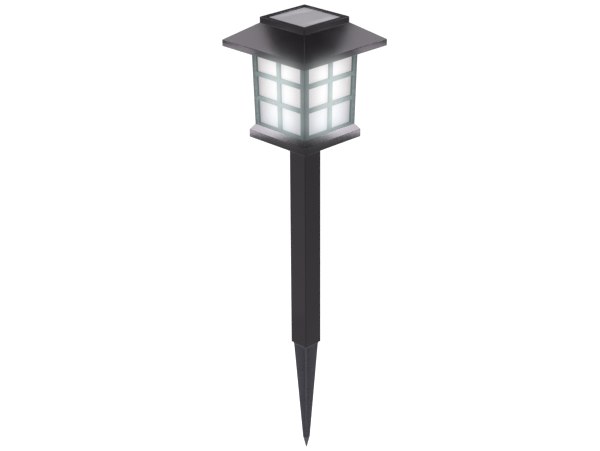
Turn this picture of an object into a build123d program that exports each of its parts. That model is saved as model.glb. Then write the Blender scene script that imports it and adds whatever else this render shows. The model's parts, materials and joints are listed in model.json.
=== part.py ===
from build123d import *
from math import cos, hypot, radians, sin
import os

# Solar garden light: a square lantern with a pyramid roof, on a square pole with a ground spike.
# All lengths are millimetres. The origin lies on the light's upright axis where the foot of the
# pole meets the ground. +Z points up, and the lantern's four sides face +X, -X, +Y and -Y.

# ---------------------------------------------------------------------------------------------
# Driving dimensions
# ---------------------------------------------------------------------------------------------

# Ground spike
SPIKE_LENGTH = 121.0            # from the tip up to the ground line
POINT_HEIGHT = 12.0             # solid point below the fins
FIN_THICKNESS = 1.8
FIN_TOP_REACH = 11.7            # from the axis to a fin's outer edge, under the top plate
FIN_LOW_REACH = 3.4             # the same, where the fins run into the point
CORE_TOP_RADIUS = 1.6
CORE_LOW_RADIUS = 1.3
TIP_REACH = 0.5
PLATE_SIDE = 17.1
PLATE_DROP = 2.6                # how far the plate shows under the pole
PLATE_RISE = 1.5
PLUG_HEIGHT = 24.0              # part of the spike that is inside the pole
PLUG_CAP_HEIGHT = 2.0

# Pole
POLE_SIDE = 20.5
POLE_BORE = 17.5
POLE_LENGTH = 214.0
POLE_EDGE_RADIUS = 0.7
LEDGE_WIDTH = 1.3               # stop for the plug, all round the bore
LEDGE_HEIGHT = 2.0

# Lantern base
BASE_SIDE = 72.6
BASE_EDGE_HEIGHT = 7.3
BASE_SLOPE_RISE = 5.3
BASE_FLOOR = 2.2
BASE_WALL = 2.4
BASE_POST_RADIUS = 3.6
SPIGOT_SIDE = 17.2
SPIGOT_DEPTH = 22.0
SPIGOT_WALL = 1.8

# Lantern lattice and its panes
LATTICE_LOW_SIDE = 64.7
LATTICE_TOP_SIDE = 68.2
LATTICE_HEIGHT = 76.4
LATTICE_WALL = 2.2
LATTICE_FLOOR = 2.0
CORNER_POST = 5.5
MULLION = 4.0
BOTTOM_RAIL = 2.6
RAIL = 4.0
LOW_WINDOW = 22.1               # window heights, from the bottom row up
MIDDLE_WINDOW = 18.9
TOP_WINDOW = 19.5
PANE_THICKNESS = 1.2
BASE_SCREW_OFFSET = 23.6        # from the axis, along X and along Y
LATTICE_BOSS_RADIUS = 2.9
LATTICE_BOSS_HEIGHT = 6.0

# Roof cap
EAVE_SIDE = 105.0
EAVE_HEIGHT = 6.0
EAVE_DROP = 2.0                 # how far the eave hangs below the lattice's top edge
ROOF_RISE = 15.7
BEZEL_SIDE = 57.2
BEZEL_HEIGHT = 5.6
BEZEL_RIM = 4.5
BEZEL_CORNER = 1.0
ROOF_WALL = 2.0
SOFT_EDGE = 0.5
CHAMBER_SIDE = 71.0             # outside of the wall around the electronics
CHAMBER_WALL = 2.0
OVERLAP = 0.5                   # how deep one feature runs into the wall it grows from
ROOF_BOSS_RADIUS = 3.0

# Solar panel
PANEL_BELOW_RIM = 1.0
PANEL_SIDE = 47.0
PANEL_BOARD = 1.2
CELL_THICKNESS = 0.3
CELL_COUNT = 4
CELL_GAP = 0.4
CELL_MARGIN = 0.7
RESIN_ABOVE_CELLS = 1.0
SEALANT_BELOW_FACE = 0.2
WIRE_HOLE_RADIUS = 1.2
WIRE_HOLE_X = 3.0
WIRE_HOLE_Y = 6.0

# Battery housing, which closes the chamber from below
HOUSING_SIDE = 70.4
HOUSING_PLATE = 2.0
GASKET_HEIGHT = 1.0
GASKET_WIDTH = 2.6
SKIRT_SIDE = 60.4
SKIRT_WALL = 1.6
SKIRT_DEPTH = 6.0
HOUSING_SCREW_OFFSET = 25.0
BAY_CENTRE_Y = -13.2
BAY_LENGTH = 51.6
BAY_WIDTH = 13.4
BAY_CEILING = 13.2              # above the underside of the plate
BAY_WALL = 1.5
DOOR_LENGTH = 54.2
DOOR_WIDTH = 15.8
DOOR_THICKNESS = 1.2
DOOR_GAP = 0.15
DOOR_TAB_WIDTH = 7.0
DOOR_TAB_LENGTH = 5.6
DOOR_SCREW_Y = -24.3
DOOR_BOSS_RADIUS = 2.5
DOOR_BOSS_HEIGHT = 6.0
STANDOFF_RADIUS = 2.2
STANDOFF_HEIGHT = 4.0
STANDOFF_X = 14.0
STANDOFF_Y = 16.0

# AAA cell and its contacts
CELL_RADIUS = 5.1
SLEEVE_THICKNESS = 0.15
CAN_LENGTH = 43.7
NUB_LENGTH = 0.8
NUB_RADIUS = 1.9
CONTACT_THICKNESS = 0.5
CONTACT_WIDTH = 9.0
TAB_WIDTH = 2.4
TAB_RISE = 1.8
SPRING_RADIUS = 3.0
SPRING_WIRE = 0.6
SPRING_TURNS = 4

# Circuit board and the parts on it
BOARD_LENGTH = 36.0
BOARD_WIDTH = 24.0
BOARD_THICKNESS = 1.6
BOARD_CENTRE_Y = 8.5
LED_RADIUS = 2.5
LED_FLANGE_RADIUS = 2.9
LED_FLANGE_HEIGHT = 1.0
LED_BODY_HEIGHT = 5.2
LED_LEG_RADIUS = 0.25
LED_LEG_SPACING = 2.54
CHIP_SIZE = (5.0, 4.0, 1.5)
CHIP_TAPER = 5.0                # degrees
CHIP_PLACE = (-7.0, 4.0)
CHIP_PIN_COUNT = 4
CHIP_PIN_SIZE = (0.4, 1.4, 0.25)
CHIP_PIN_PITCH = 1.27
CHOKE_PLACE = (7.5, 5.0)
CHOKE_RADIUS = 3.0
CHOKE_CORE_RADIUS = 1.4
CHOKE_HEIGHT = 4.6
CHOKE_FLANGE = 0.8
CHOKE_COIL_RADIUS = 2.7

# Slide switch under the board
SWITCH_SIZE = (8.6, 4.4, 3.4)
SWITCH_Y = 13.0
SWITCH_FACE = 0.6               # thickness of the face that keeps the slider in
SWITCH_ROOM = 1.4               # height of the slider's room behind it
SWITCH_PIN_PITCH = 2.5
SWITCH_PIN_RADIUS = 0.35
SLIDER_LENGTH = 1.6             # along its travel
SLIDER_WIDTH = 1.4
SLIDER_FOOT_WIDTH = 2.4         # the part that stays behind the switch's face
SLIDER_TRAVEL = 2.0
SLIDER_SHOWS = 2.8              # below the housing plate

# Fits shared by several pieces
SMALL_GAP = 0.2
THIN_GAP = 0.05

# Fasteners
PIN_SHOWS = 0.8                 # how far legs and pins stand above the board
SCREW_RADIUS = 1.3
SCREW_HEAD_RADIUS = 2.5
SCREW_HEAD_HEIGHT = 1.6
SCREW_LENGTH = 10.0
SMALL_SCREW_RADIUS = 0.95
SMALL_HEAD_RADIUS = 1.9
SMALL_HEAD_HEIGHT = 1.2
BOARD_SCREW_LENGTH = 5.2
DOOR_SCREW_LENGTH = 5.6
CLEARANCE_HOLE = 0.3            # a clearance hole's radius beyond its screw's
PILOT_GAP = 0.02                # a pilot hole's radius beyond its screw's
HEAD_FLAT = 0.55                # flat top of a pan head, as a part of the head's radius
HEAD_SHOULDER = (0.9, 0.72)     # a point on its rounded edge, as parts of its radius and height
SHANK_POINT = 0.3               # the shank's blunt end, as a part of its radius
CROSS_WIDTH = 0.22              # the drive cross, as parts of the head's radius and height
CROSS_DEPTH = 0.55
BLIND_END = 1.0                 # plastic left over the end of a blind pilot hole

# Wires
WIRE_RADIUS = 0.6
WIRE_BEND = 2.6

# ---------------------------------------------------------------------------------------------
# Levels that follow from them, measured up from the ground line
# ---------------------------------------------------------------------------------------------

BASE_BOTTOM = POLE_LENGTH
BASE_EDGE_TOP = BASE_BOTTOM + BASE_EDGE_HEIGHT
LATTICE_BOTTOM = BASE_EDGE_TOP + BASE_SLOPE_RISE
LATTICE_TOP = LATTICE_BOTTOM + LATTICE_HEIGHT
EAVE_BOTTOM = LATTICE_TOP - EAVE_DROP
EAVE_TOP = EAVE_BOTTOM + EAVE_HEIGHT
BEZEL_BOTTOM = EAVE_TOP + ROOF_RISE
BEZEL_TOP = BEZEL_BOTTOM + BEZEL_HEIGHT
PANEL_FACE = BEZEL_TOP - PANEL_BELOW_RIM
CELLS_BOTTOM = PANEL_FACE - RESIN_ABOVE_CELLS - CELL_THICKNESS
RECESS_FLOOR = CELLS_BOTTOM - PANEL_BOARD
CHAMBER_CEILING = RECESS_FLOOR - ROOF_WALL
PLATE_BOTTOM = LATTICE_TOP
PLATE_TOP = PLATE_BOTTOM + HOUSING_PLATE
GASKET_TOP = PLATE_TOP + GASKET_HEIGHT
DOOR_TOP = PLATE_BOTTOM + DOOR_THICKNESS
BAY_TOP = PLATE_BOTTOM + BAY_CEILING
BAY_OUTER_TOP = BAY_TOP + BAY_WALL
CELL_AXIS = (DOOR_TOP + BAY_TOP) / 2
BOARD_BOTTOM = PLATE_TOP + STANDOFF_HEIGHT
BOARD_TOP = BOARD_BOTTOM + BOARD_THICKNESS

ROOF_SLOPE = ROOF_RISE / ((EAVE_SIDE - BEZEL_SIDE) / 2)
ROOF_SKIN = ROOF_WALL * hypot(1.0, ROOF_SLOPE)     # the roof's thickness measured upright
LATTICE_LEAN = (LATTICE_TOP_SIDE - LATTICE_LOW_SIDE) / 2 / LATTICE_HEIGHT

# Hole radii that the fasteners need
SCREW_HOLE = SCREW_RADIUS + CLEARANCE_HOLE
SCREW_HEAD_HOLE = SCREW_HEAD_RADIUS + CLEARANCE_HOLE
SCREW_PILOT = SCREW_RADIUS + PILOT_GAP
SMALL_SCREW_HOLE = SMALL_SCREW_RADIUS + CLEARANCE_HOLE
SMALL_PILOT = SMALL_SCREW_RADIUS + PILOT_GAP

CORNERS = [(-1, -1), (-1, 1), (1, -1), (1, 1)]
BASE_SCREWS = [(x * BASE_SCREW_OFFSET, y * BASE_SCREW_OFFSET) for x, y in CORNERS]
HOUSING_SCREWS = [(x * HOUSING_SCREW_OFFSET, y * HOUSING_SCREW_OFFSET) for x, y in CORNERS]
BOARD_SCREWS = [(-STANDOFF_X, STANDOFF_Y), (STANDOFF_X, STANDOFF_Y)]


# ---------------------------------------------------------------------------------------------
# Shared shapes
# ---------------------------------------------------------------------------------------------

def square_block(side, bottom, top, mode=Mode.ADD):
    """Adds an upright square block on the axis to the part being built."""
    with BuildSketch(Plane.XY.offset(bottom)) as outline:
        Rectangle(side, side)
    extrude(outline.sketch, amount=top - bottom, mode=mode)


def square_ring(outer, inner, bottom, top):
    """Adds an upright square ring on the axis to the part being built."""
    with BuildSketch(Plane.XY.offset(bottom)) as outline:
        Rectangle(outer, outer)
        Rectangle(inner, inner, mode=Mode.SUBTRACT)
    extrude(outline.sketch, amount=top - bottom)


def square_taper(low_side, bottom, top_side, top, mode=Mode.ADD):
    """Adds a square block whose side changes evenly with height to the part being built."""
    with BuildSketch(Plane.XY.offset(bottom)) as low:
        Rectangle(low_side, low_side)
    with BuildSketch(Plane.XY.offset(top)) as high:
        Rectangle(top_side, top_side)
    loft([low.sketch.face(), high.sketch.face()], mode=mode)


def round_posts(points, radius, bottom, top, mode=Mode.ADD):
    """Adds or cuts one upright round post at each point of the part being built."""
    with BuildSketch(Plane.XY.offset(bottom)) as rounds:
        with Locations(*points):
            Circle(radius)
    extrude(rounds.sketch, amount=top - bottom, mode=mode)


def block(x_range, y_range, z_range, mode=Mode.ADD):
    """Adds or cuts a block between two limits along each axis of the part being built."""
    centre = ((x_range[0] + x_range[1]) / 2, (y_range[0] + y_range[1]) / 2)
    with BuildSketch(Plane.XY.offset(z_range[0])) as outline:
        with Locations(centre):
            Rectangle(x_range[1] - x_range[0], y_range[1] - y_range[0])
    extrude(outline.sketch, amount=z_range[1] - z_range[0], mode=mode)


def pan_head_screw(shank_radius, length, head_radius, head_height):
    """Makes a screw with its head below Z=0 and its shank above, and a cross in the head."""
    with BuildPart() as screw:
        with BuildSketch(Plane.XZ):
            with BuildLine():
                Line((0, length), (0, -head_height))
                Line((0, -head_height), (head_radius * HEAD_FLAT, -head_height))
                ThreePointArc((head_radius * HEAD_FLAT, -head_height),
                              (head_radius * HEAD_SHOULDER[0], -head_height * HEAD_SHOULDER[1]),
                              (head_radius, 0))
                Line((head_radius, 0), (shank_radius, 0))
                Line((shank_radius, 0), (shank_radius, length - shank_radius))
                Line((shank_radius, length - shank_radius), (shank_radius * SHANK_POINT, length))
                Line((shank_radius * SHANK_POINT, length), (0, length))
            make_face()
        revolve(axis=Axis.Z)
        with BuildSketch(Plane.XY.offset(-head_height)):
            Rectangle(head_radius, head_radius * CROSS_WIDTH)
            Rectangle(head_radius * CROSS_WIDTH, head_radius)
        extrude(amount=head_height * CROSS_DEPTH, mode=Mode.SUBTRACT)
    return screw.part


def lattice_half(height):
    """Gives half the lattice's outer width at a height above the ground."""
    return LATTICE_LOW_SIDE / 2 + (height - LATTICE_BOTTOM) * LATTICE_LEAN


def roof_inside(distance):
    """Gives the height of the roof's inner face at a distance from the axis."""
    return EAVE_TOP + (EAVE_SIDE / 2 - distance) * ROOF_SLOPE - ROOF_SKIN


def wire(points):
    """Makes a round wire along a route of straight runs joined by arcs."""
    with BuildPart() as strand:
        with BuildLine() as route:
            FilletPolyline(*points, radius=WIRE_BEND)
        with BuildSketch(Plane(origin=route.line @ 0, z_dir=route.line % 0)):
            Circle(WIRE_RADIUS)
        sweep()
    return strand


def save(piece, name):
    """Labels a finished piece and writes it to its own file."""
    piece.part.label = name
    export_step(piece.part, f"parts/{name}.step")


os.makedirs("parts", exist_ok=True)

# ---------------------------------------------------------------------------------------------
# Ground spike: four fins on the diagonals, a solid point, and a plug that goes into the pole
# ---------------------------------------------------------------------------------------------

POINT_TOP = POINT_HEIGHT - SPIKE_LENGTH
DIAGONALS = (
    Plane(origin=(0, 0, 0), x_dir=(1, 1, 0), z_dir=(1, -1, 0)),
    Plane(origin=(0, 0, 0), x_dir=(1, -1, 0), z_dir=(-1, -1, 0)),
)
PLUG_REACH = PLATE_SIDE / 2 * hypot(1, 1) - FIN_THICKNESS

with BuildPart() as ground_spike:
    for diagonal in DIAGONALS:
        with BuildSketch(diagonal):
            Polygon(
                (-FIN_TOP_REACH, -PLATE_DROP),
                (FIN_TOP_REACH, -PLATE_DROP),
                (FIN_LOW_REACH, POINT_TOP),
                (-FIN_LOW_REACH, POINT_TOP),
                align=None,
            )
        extrude(amount=FIN_THICKNESS / 2, both=True)
        with BuildSketch(diagonal):
            with Locations((0, PLUG_HEIGHT / 2)):
                Rectangle(2 * PLUG_REACH, PLUG_HEIGHT)
        extrude(amount=FIN_THICKNESS / 2, both=True)
    with BuildSketch(Plane.XY.offset(-PLATE_DROP)) as core_top:
        Circle(CORE_TOP_RADIUS)
    with BuildSketch(Plane.XY.offset(POINT_TOP)) as core_low:
        Circle(CORE_LOW_RADIUS)
    loft([core_low.sketch.face(), core_top.sketch.face()])
    with BuildSketch(Plane.XY.offset(POINT_TOP)) as point_top:
        Rectangle(FIN_LOW_REACH * hypot(1, 1), FIN_LOW_REACH * hypot(1, 1))
    with BuildSketch(Plane.XY.offset(-SPIKE_LENGTH)) as point_tip:
        Rectangle(TIP_REACH * hypot(1, 1), TIP_REACH * hypot(1, 1))
    loft([point_tip.sketch.face(), point_top.sketch.face()])
    square_block(PLATE_SIDE, -PLATE_DROP, PLATE_RISE)
    square_block(PLATE_SIDE, PLUG_HEIGHT - PLUG_CAP_HEIGHT, PLUG_HEIGHT)
save(ground_spike, "ground_spike")

# ---------------------------------------------------------------------------------------------
# Pole: a square tube with a ledge that the spike's plug stops against
# ---------------------------------------------------------------------------------------------

with BuildPart() as pole_tube:
    with BuildSketch(Plane.XY):
        RectangleRounded(POLE_SIDE, POLE_SIDE, POLE_EDGE_RADIUS)
        Rectangle(POLE_BORE, POLE_BORE, mode=Mode.SUBTRACT)
    extrude(amount=POLE_LENGTH)
    square_ring(POLE_BORE, POLE_BORE - 2 * LEDGE_WIDTH, PLUG_HEIGHT, PLUG_HEIGHT + LEDGE_HEIGHT)
save(pole_tube, "pole_tube")

# ---------------------------------------------------------------------------------------------
# Lantern base: a hollow plinth with a square spigot that drops into the pole
# ---------------------------------------------------------------------------------------------

with BuildPart() as lantern_base:
    square_block(BASE_SIDE, BASE_BOTTOM, BASE_EDGE_TOP)
    square_taper(BASE_SIDE, BASE_EDGE_TOP, LATTICE_LOW_SIDE, LATTICE_BOTTOM)
    soft = lantern_base.edges().filter_by(Axis.Z)
    soft += lantern_base.faces().sort_by(Axis.Z)[0].edges()
    soft += lantern_base.edges().group_by(Axis.Z)[2]
    fillet(soft, radius=SOFT_EDGE)
    square_block(LATTICE_LOW_SIDE - 2 * BASE_WALL, BASE_BOTTOM + BASE_FLOOR, LATTICE_BOTTOM,
                 mode=Mode.SUBTRACT)
    round_posts(BASE_SCREWS, BASE_POST_RADIUS, BASE_BOTTOM + BASE_FLOOR, LATTICE_BOTTOM)
    round_posts(BASE_SCREWS, SCREW_HOLE, BASE_BOTTOM, LATTICE_BOTTOM, mode=Mode.SUBTRACT)
    round_posts(BASE_SCREWS, SCREW_HEAD_HOLE, BASE_BOTTOM, BASE_EDGE_TOP, mode=Mode.SUBTRACT)
    square_ring(SPIGOT_SIDE, SPIGOT_SIDE - 2 * SPIGOT_WALL, BASE_BOTTOM - SPIGOT_DEPTH, BASE_BOTTOM)
save(lantern_base, "lantern_base")

# ---------------------------------------------------------------------------------------------
# Lattice shell: four leaning sides, each with two columns of three windows, and a floor
# ---------------------------------------------------------------------------------------------

LATTICE_LOW_INSIDE = LATTICE_LOW_SIDE - 2 * LATTICE_WALL
LATTICE_TOP_INSIDE = LATTICE_TOP_SIDE - 2 * LATTICE_WALL
FLOOR_TOP = LATTICE_BOTTOM + LATTICE_FLOOR
ROW_BOTTOMS = [LATTICE_BOTTOM + BOTTOM_RAIL]
for window_height in (LOW_WINDOW, MIDDLE_WINDOW):
    ROW_BOTTOMS.append(ROW_BOTTOMS[-1] + window_height + RAIL)
ROWS = list(zip(ROW_BOTTOMS, (LOW_WINDOW, MIDDLE_WINDOW, TOP_WINDOW)))

with BuildPart() as lattice_shell:
    square_taper(LATTICE_LOW_SIDE, LATTICE_BOTTOM, LATTICE_TOP_SIDE, LATTICE_TOP)
    fillet(lattice_shell.edges().filter_by(lambda edge: edge.length > LATTICE_HEIGHT), radius=SOFT_EDGE)
    square_taper(
        LATTICE_LOW_INSIDE + 2 * LATTICE_FLOOR * LATTICE_LEAN, FLOOR_TOP, LATTICE_TOP_INSIDE, LATTICE_TOP,
        mode=Mode.SUBTRACT,
    )
    for upright in (Plane.XZ, Plane.YZ):
        with BuildSketch(upright):
            for row_bottom, row_height in ROWS:
                row_top = row_bottom + row_height
                for side in (-1, 1):
                    Polygon(
                        (side * MULLION / 2, row_bottom),
                        (side * (lattice_half(row_bottom) - CORNER_POST), row_bottom),
                        (side * (lattice_half(row_top) - CORNER_POST), row_top),
                        (side * MULLION / 2, row_top),
                        align=None,
                    )
        extrude(amount=LATTICE_TOP_SIDE, both=True, mode=Mode.SUBTRACT)
    round_posts(BASE_SCREWS, LATTICE_BOSS_RADIUS, FLOOR_TOP, FLOOR_TOP + LATTICE_BOSS_HEIGHT)
    round_posts(BASE_SCREWS, SCREW_PILOT, LATTICE_BOTTOM, FLOOR_TOP + LATTICE_BOSS_HEIGHT - BLIND_END,
                mode=Mode.SUBTRACT)
save(lattice_shell, "lattice_shell")

# ---------------------------------------------------------------------------------------------
# Window panes: one frosted sheet behind each side of the lattice
# ---------------------------------------------------------------------------------------------

with BuildPart() as window_panes:
    for turn in range(4):
        angle = radians(90 * turn)
        out = Vector(cos(angle), sin(angle), 0)
        across = Vector(-sin(angle), cos(angle), 0)
        foot = lattice_half(FLOOR_TOP) - LATTICE_WALL
        head = lattice_half(LATTICE_TOP) - LATTICE_WALL
        inward = Vector(0, 0, LATTICE_LEAN) - out
        length = (LATTICE_TOP - FLOOR_TOP) * hypot(1, LATTICE_LEAN)
        corner = PANE_THICKNESS + THIN_GAP
        with BuildSketch(Plane(origin=out * foot + Vector(0, 0, FLOOR_TOP), x_dir=-across, z_dir=inward)):
            Polygon(
                (-(foot - corner), THIN_GAP),
                (foot - corner, THIN_GAP),
                (head - corner, length - THIN_GAP),
                (-(head - corner), length - THIN_GAP),
                align=None,
            )
        extrude(amount=PANE_THICKNESS)
save(window_panes, "window_panes")

# ---------------------------------------------------------------------------------------------
# Roof cap: pyramid roof with an upright eave, a bezel for the panel, and a walled chamber below
# ---------------------------------------------------------------------------------------------

EAVE_INSIDE = EAVE_SIDE - 2 * ROOF_WALL
BEZEL_INSIDE = BEZEL_SIDE - 2 * ROOF_WALL
RECESS_SIDE = BEZEL_SIDE - 2 * BEZEL_RIM
CHAMBER_INSIDE = CHAMBER_SIDE - 2 * CHAMBER_WALL
WIRE_HOLES = [(-WIRE_HOLE_X, WIRE_HOLE_Y), (WIRE_HOLE_X, WIRE_HOLE_Y)]

with BuildPart() as roof_cap:
    square_block(EAVE_SIDE, EAVE_BOTTOM, EAVE_TOP)
    square_taper(EAVE_SIDE, EAVE_TOP, BEZEL_SIDE, BEZEL_BOTTOM)
    fillet(roof_cap.edges() - roof_cap.faces().sort_by(Axis.Z)[-1].edges(), radius=SOFT_EDGE)
    with BuildSketch(Plane.XY.offset(BEZEL_BOTTOM)):
        RectangleRounded(BEZEL_SIDE, BEZEL_SIDE, BEZEL_CORNER)
    extrude(amount=BEZEL_HEIGHT)
    fillet(roof_cap.faces().sort_by(Axis.Z)[-1].edges(), radius=SOFT_EDGE)
    square_block(RECESS_SIDE, RECESS_FLOOR, BEZEL_TOP, mode=Mode.SUBTRACT)
    square_block(EAVE_INSIDE, EAVE_BOTTOM, roof_inside(EAVE_INSIDE / 2), mode=Mode.SUBTRACT)
    square_taper(EAVE_INSIDE, roof_inside(EAVE_INSIDE / 2), BEZEL_INSIDE, roof_inside(BEZEL_INSIDE / 2),
                 mode=Mode.SUBTRACT)
    square_block(BEZEL_INSIDE, roof_inside(BEZEL_INSIDE / 2), CHAMBER_CEILING, mode=Mode.SUBTRACT)
    square_ring(CHAMBER_SIDE, CHAMBER_INSIDE, GASKET_TOP, roof_inside(CHAMBER_INSIDE / 2) + OVERLAP)
    round_posts(HOUSING_SCREWS, ROOF_BOSS_RADIUS, PLATE_TOP, CHAMBER_CEILING + OVERLAP)
    round_posts(HOUSING_SCREWS, SCREW_PILOT, PLATE_TOP, PLATE_TOP + SCREW_LENGTH, mode=Mode.SUBTRACT)
    round_posts(WIRE_HOLES, WIRE_HOLE_RADIUS, CHAMBER_CEILING, RECESS_FLOOR, mode=Mode.SUBTRACT)
save(roof_cap, "roof_cap")

# ---------------------------------------------------------------------------------------------
# Solar panel: a backing board, strips of cells, clear resin over them, and a sealant bead
# ---------------------------------------------------------------------------------------------

CELL_SPAN = PANEL_SIDE - 2 * CELL_MARGIN
CELL_WIDTH = (CELL_SPAN - (CELL_COUNT - 1) * CELL_GAP) / CELL_COUNT

with BuildPart() as panel_backing:
    square_block(PANEL_SIDE, RECESS_FLOOR, CELLS_BOTTOM)
save(panel_backing, "panel_backing")

with BuildPart() as solar_cells:
    with BuildSketch(Plane.XY.offset(CELLS_BOTTOM)):
        with GridLocations(CELL_WIDTH + CELL_GAP, 0, CELL_COUNT, 1):
            Rectangle(CELL_WIDTH, CELL_SPAN)
    extrude(amount=CELL_THICKNESS)
save(solar_cells, "solar_cells")

with BuildPart() as panel_resin:
    square_block(PANEL_SIDE, CELLS_BOTTOM, PANEL_FACE)
    add(solar_cells.part, mode=Mode.SUBTRACT)
save(panel_resin, "panel_resin")

with BuildPart() as panel_sealant:
    square_ring(RECESS_SIDE, PANEL_SIDE, RECESS_FLOOR, PANEL_FACE - SEALANT_BELOW_FACE)
save(panel_sealant, "panel_sealant")

# ---------------------------------------------------------------------------------------------
# Battery housing: plate with a skirt that plugs into the lantern, and a bay for the cell
# ---------------------------------------------------------------------------------------------

BAY_Y = (BAY_CENTRE_Y - BAY_WIDTH / 2, BAY_CENTRE_Y + BAY_WIDTH / 2)
BAY_X = (-BAY_LENGTH / 2, BAY_LENGTH / 2)
DOOR_Y = (BAY_CENTRE_Y - DOOR_WIDTH / 2, BAY_CENTRE_Y + DOOR_WIDTH / 2)
DOOR_SCREW = [(0, DOOR_SCREW_Y)]
SLOT_HALF = (SLIDER_LENGTH + SLIDER_TRAVEL) / 2 + SMALL_GAP

with BuildPart() as battery_housing:
    with BuildSketch(Plane.XY.offset(PLATE_BOTTOM)):
        RectangleRounded(HOUSING_SIDE, HOUSING_SIDE, BEZEL_CORNER)
    extrude(amount=HOUSING_PLATE)
    square_ring(SKIRT_SIDE, SKIRT_SIDE - 2 * SKIRT_WALL, PLATE_BOTTOM - SKIRT_DEPTH, PLATE_BOTTOM)
    block((BAY_X[0] - BAY_WALL, BAY_X[1] + BAY_WALL), (BAY_Y[0] - BAY_WALL, BAY_Y[1] + BAY_WALL),
          (PLATE_BOTTOM, BAY_OUTER_TOP))
    round_posts(BOARD_SCREWS, STANDOFF_RADIUS, PLATE_BOTTOM, BOARD_BOTTOM)
    round_posts(DOOR_SCREW, DOOR_BOSS_RADIUS, PLATE_BOTTOM, PLATE_TOP + DOOR_BOSS_HEIGHT)
    block(BAY_X, BAY_Y, (PLATE_BOTTOM, BAY_TOP), mode=Mode.SUBTRACT)
    block((-DOOR_LENGTH / 2, DOOR_LENGTH / 2), DOOR_Y, (PLATE_BOTTOM, DOOR_TOP), mode=Mode.SUBTRACT)
    block((-DOOR_TAB_WIDTH / 2, DOOR_TAB_WIDTH / 2), (DOOR_Y[0] - DOOR_TAB_LENGTH, DOOR_Y[0]),
          (PLATE_BOTTOM, DOOR_TOP), mode=Mode.SUBTRACT)
    for end in (-1, 1):
        slot_x = sorted((end * BAY_X[1], end * (BAY_X[1] - CONTACT_THICKNESS)))
        block(slot_x, (BAY_CENTRE_Y - TAB_WIDTH / 2, BAY_CENTRE_Y + TAB_WIDTH / 2),
              (BAY_TOP, BAY_OUTER_TOP), mode=Mode.SUBTRACT)
    block((-SLOT_HALF - SMALL_GAP, SLOT_HALF + SMALL_GAP),
          (SWITCH_Y - SLIDER_WIDTH / 2 - 2 * SMALL_GAP, SWITCH_Y + SLIDER_WIDTH / 2 + 2 * SMALL_GAP),
          (PLATE_BOTTOM, PLATE_TOP), mode=Mode.SUBTRACT)
    round_posts([(0, 0)], LED_RADIUS + PILOT_GAP, PLATE_BOTTOM, PLATE_TOP, mode=Mode.SUBTRACT)
    round_posts(HOUSING_SCREWS, SCREW_HOLE, PLATE_BOTTOM, PLATE_TOP, mode=Mode.SUBTRACT)
    round_posts(BOARD_SCREWS, SMALL_PILOT, PLATE_BOTTOM + BLIND_END, BOARD_BOTTOM, mode=Mode.SUBTRACT)
    round_posts(DOOR_SCREW, SMALL_PILOT, DOOR_TOP, DOOR_TOP + DOOR_SCREW_LENGTH, mode=Mode.SUBTRACT)
save(battery_housing, "battery_housing")

with BuildPart() as housing_gasket:
    square_ring(HOUSING_SIDE - 2 * OVERLAP, CHAMBER_SIDE - 2 * GASKET_WIDTH, PLATE_TOP, GASKET_TOP)
save(housing_gasket, "housing_gasket")

with BuildPart() as battery_door:
    block((DOOR_GAP - DOOR_LENGTH / 2, DOOR_LENGTH / 2 - DOOR_GAP),
          (DOOR_Y[0] + DOOR_GAP, DOOR_Y[1] - DOOR_GAP), (PLATE_BOTTOM, DOOR_TOP))
    block((DOOR_GAP - DOOR_TAB_WIDTH / 2, DOOR_TAB_WIDTH / 2 - DOOR_GAP),
          (DOOR_Y[0] - DOOR_TAB_LENGTH + DOOR_GAP, DOOR_Y[0] + OVERLAP), (PLATE_BOTTOM, DOOR_TOP))
    round_posts(DOOR_SCREW, SMALL_SCREW_HOLE, PLATE_BOTTOM, DOOR_TOP, mode=Mode.SUBTRACT)
save(battery_door, "battery_door")

# ---------------------------------------------------------------------------------------------
# AAA cell, its sleeve, and the contacts at both ends of the bay
# ---------------------------------------------------------------------------------------------

CONTACT_FACE = BAY_X[1] - CONTACT_THICKNESS
CAN_END = CONTACT_FACE - NUB_LENGTH
CAN_START = CAN_END - CAN_LENGTH
CELL_END = Plane(origin=(CAN_END, BAY_CENTRE_Y, CELL_AXIS), x_dir=(0, 1, 0), z_dir=(1, 0, 0))

with BuildPart() as battery_cell:
    with BuildSketch(CELL_END):
        Circle(CELL_RADIUS)
    extrude(amount=-CAN_LENGTH)
    with BuildSketch(CELL_END):
        Circle(NUB_RADIUS)
    extrude(amount=NUB_LENGTH)
save(battery_cell, "battery_cell")

with BuildPart() as battery_sleeve:
    with BuildSketch(CELL_END):
        Circle(CELL_RADIUS + SLEEVE_THICKNESS)
        Circle(CELL_RADIUS, mode=Mode.SUBTRACT)
    extrude(amount=-CAN_LENGTH)
save(battery_sleeve, "battery_sleeve")

for end, contact_name in ((1, "positive_contact"), (-1, "negative_contact")):
    plate_x = sorted((end * CONTACT_FACE, end * BAY_X[1]))
    with BuildPart() as contact:
        block(plate_x, (BAY_CENTRE_Y - CONTACT_WIDTH / 2, BAY_CENTRE_Y + CONTACT_WIDTH / 2),
              (DOOR_TOP + OVERLAP, BAY_TOP))
        block(plate_x, (BAY_CENTRE_Y - TAB_WIDTH / 2, BAY_CENTRE_Y + TAB_WIDTH / 2),
              (BAY_TOP, BAY_OUTER_TOP + TAB_RISE))
    save(contact, contact_name)

SPRING_START = SPRING_WIRE / 2 - CONTACT_FACE
SPRING_LENGTH = CAN_START - SPRING_START - SPRING_WIRE / 2

with BuildPart() as contact_spring:
    with BuildLine() as coil:
        Helix(SPRING_LENGTH / SPRING_TURNS, SPRING_LENGTH, SPRING_RADIUS,
              center=(SPRING_START, BAY_CENTRE_Y, CELL_AXIS), direction=(1, 0, 0))
    with BuildSketch(Plane(origin=coil.line @ 0, z_dir=coil.line % 0)):
        Circle(SPRING_WIRE / 2)
    sweep(is_frenet=True)
save(contact_spring, "contact_spring")

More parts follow.
